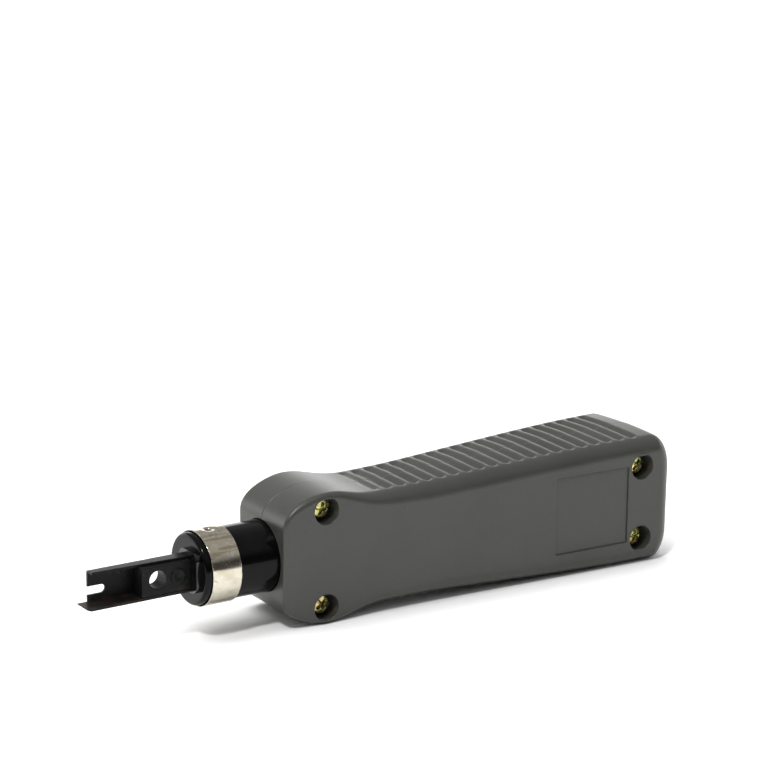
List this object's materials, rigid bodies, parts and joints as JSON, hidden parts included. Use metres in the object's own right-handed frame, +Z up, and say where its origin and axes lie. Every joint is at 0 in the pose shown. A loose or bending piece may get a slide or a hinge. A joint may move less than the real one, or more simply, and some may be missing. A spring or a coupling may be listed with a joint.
{
  "type": "punch down tool",
  "caption": "Impact punch down tool with a two-shell grip, spring-loaded sliding barrel, inner hammer and a pull-out blade that seats and trims wires.",
  "frame": {"origin": "on the surface the tool lies on, under the middle of its overall length and thickness", "axes": "+X from the blade to the tail along the barrel, +Y from the screw-head face to the back face, +Z up with the tool lying on one ribbed side"},
  "size_m": [0.1528, 0.0296, 0.0309],
  "materials": {
    "housing_plastic": "fine satin texture",
    "yellow_zinc": "yellow zinc plated, slightly iridescent",
    "black_rubber": "matt",
    "bright_steel": "ground",
    "barrel_plastic": "glossy black",
    "nickel": "nickel plated, lightly brushed",
    "spring_steel": "drawn wire",
    "black_oxide": "black oxide, oiled"
  },
  "bodies": {
    "housing": {"front_shell": "housing_plastic", "rear_shell": "housing_plastic", "nose_screws": "yellow_zinc", "tail_screws": "yellow_zinc", "bumper": "black_rubber", "spring_seat": "bright_steel", "trip_ramp": "bright_steel"},
    "plunger": {"barrel": "barrel_plastic", "blade_socket": "barrel_plastic", "detent_band": "nickel", "detent_pin": "nickel", "push_rod": "bright_steel", "rod_pin": "bright_steel", "retaining_ring": "spring_steel", "return_spring": "spring_steel"},
    "blade": {"blade_sheet": "black_oxide", "blade_shank": "black_oxide", "blade_rivet": "black_oxide"},
    "hammer": {"hammer": "bright_steel", "main_spring": "spring_steel"},
    "trip": {"trip_plate": "bright_steel", "trip_spring": "spring_steel"}
  },
  "joints": [
    {"name": "plunger_slide", "type": "slide", "parent": "housing", "child": "plunger", "axis": [1, 0, 0], "range_m": [0, 0.0095], "stiffness_N_per_m": 400},
    {"name": "blade_slide", "type": "slide", "parent": "plunger", "child": "blade", "axis": [-1, 0, 0], "range_m": [0, 0.011]},
    {"name": "hammer_slide", "type": "slide", "parent": "housing", "child": "hammer", "axis": [1, 0, 0], "range_m": [0, 0.0095], "stiffness_N_per_m": 3000, "deforming": ["main_spring"]},
    {"name": "trip_slide", "type": "slide", "parent": "hammer", "child": "trip", "axis": [0, 0, 1], "range_m": [-0.0017, 0], "stiffness_N_per_m": 100, "deforming": ["trip_spring"]}
  ],
  "couplings": [
    {"joint": "hammer_slide", "follows": "plunger_slide", "ratio": 1},
    {"joint": "trip_slide", "follows": "plunger_slide", "ratio": -0.1789}
  ]
}
